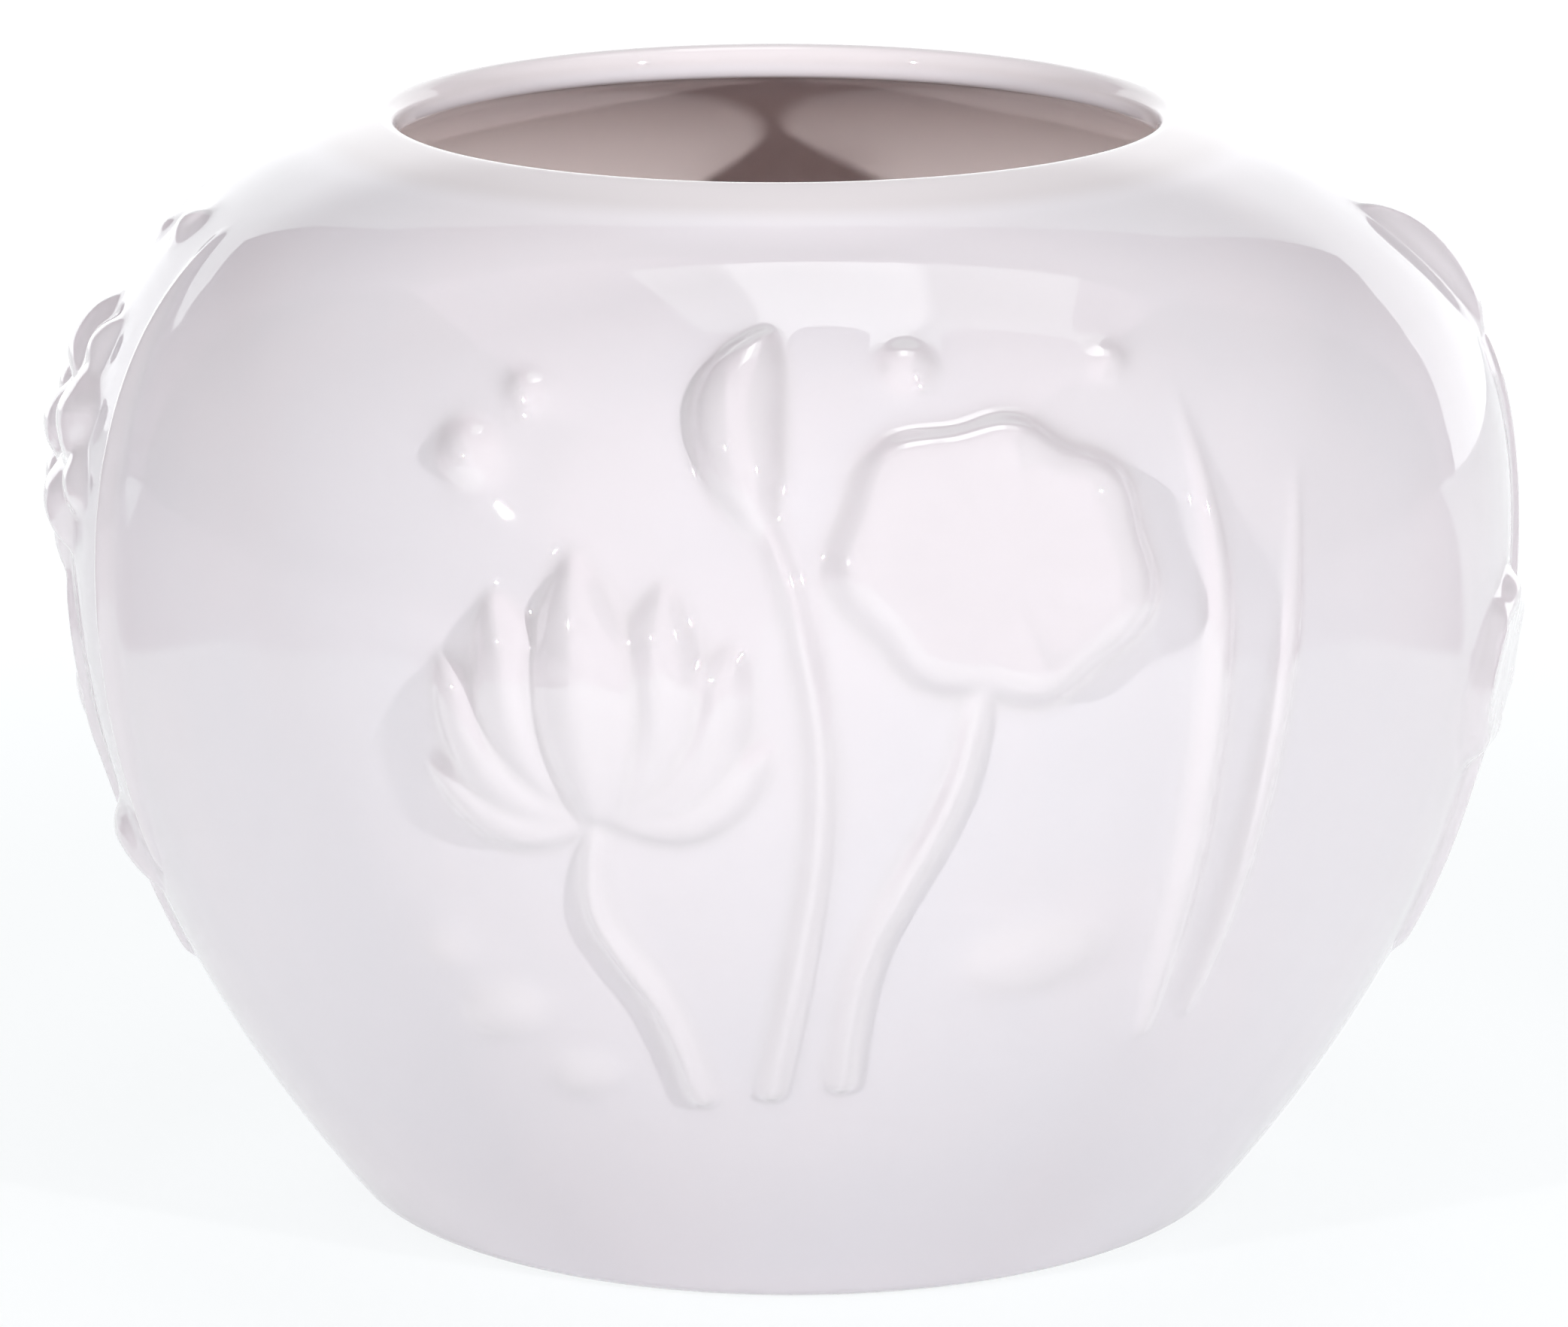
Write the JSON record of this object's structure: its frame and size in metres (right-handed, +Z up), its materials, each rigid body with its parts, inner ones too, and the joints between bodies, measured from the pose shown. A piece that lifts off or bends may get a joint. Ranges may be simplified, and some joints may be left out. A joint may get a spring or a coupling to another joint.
{
  "type": "fishbowl vase",
  "caption": "Round fishbowl vase in glossy white porcelain with a drawn-in mouth and a lotus pond in low relief, for cut or floating flowers.",
  "frame": {"origin": "on the axis of the bowl, in the plane of the foot ring's flat underside", "axes": "+Z up through the mouth; -Y towards the front, which has the side-view flower, the bud and the open leaf; +X to the right as seen from the front"},
  "size_m": [0.2995, 0.2991, 0.2197],
  "materials": {
    "white_porcelain": "clear gloss glaze over white porcelain, faintly cool, with rare small specks and a bare foot ring",
    "relief_porcelain": "the same gloss glaze, pooled in the hollows and thin over the crests"
  },
  "bodies": {
    "root": {"vase_body": "white_porcelain", "front_leaf": "relief_porcelain", "front_leaf_stem": "relief_porcelain", "front_flower_petal_1": "relief_porcelain", "front_flower_petal_2": "relief_porcelain", "front_flower_petal_3": "relief_porcelain", "front_flower_petal_4": "relief_porcelain", "front_flower_petal_5": "relief_porcelain", "front_flower_petal_6": "relief_porcelain", "front_flower_petal_7": "relief_porcelain", "front_flower_stem": "relief_porcelain", "front_bud": "relief_porcelain", "front_bud_stem": "relief_porcelain", "front_floating_leaf": "relief_porcelain", "front_reed_1": "relief_porcelain", "front_reed_2": "relief_porcelain", "front_drop_1": "relief_porcelain", "front_drop_2": "relief_porcelain", "front_drop_3": "relief_porcelain", "front_drop_4": "relief_porcelain", "front_pebble_1": "relief_porcelain", "front_pebble_2": "relief_porcelain", "front_pebble_3": "relief_porcelain", "left_bloom_heart": "relief_porcelain", "left_bloom_petal_1": "relief_porcelain", "left_bloom_petal_2": "relief_porcelain", "left_bloom_petal_3": "relief_porcelain", "left_bloom_petal_4": "relief_porcelain", "left_bloom_petal_5": "relief_porcelain", "left_bloom_petal_6": "relief_porcelain", "left_bloom_petal_7": "relief_porcelain", "left_bloom_petal_8": "relief_porcelain", "left_bloom_petal_9": "relief_porcelain", "left_bloom_petal_10": "relief_porcelain", "left_stem": "relief_porcelain", "left_curled_leaf": "relief_porcelain", "left_side_leaf": "relief_porcelain", "left_reed_1": "relief_porcelain", "left_reed_2": "relief_porcelain", "left_drop_1": "relief_porcelain", "left_drop_2": "relief_porcelain", "right_bud": "relief_porcelain", "right_bud_stem": "relief_porcelain", "right_leaf": "relief_porcelain", "right_leaf_stem": "relief_porcelain", "right_drop_1": "relief_porcelain", "right_drop_2": "relief_porcelain", "back_leaf": "relief_porcelain", "back_leaf_stem": "relief_porcelain", "back_flower_petal_1": "relief_porcelain", "back_flower_petal_2": "relief_porcelain", "back_flower_petal_3": "relief_porcelain", "back_flower_petal_4": "relief_porcelain", "back_flower_petal_5": "relief_porcelain", "back_flower_stem": "relief_porcelain", "back_pod_top": "relief_porcelain", "back_pod_cup": "relief_porcelain", "back_pod_stem": "relief_porcelain", "back_pebble_1": "relief_porcelain", "back_pebble_2": "relief_porcelain"}
  },
  "joints": []
}
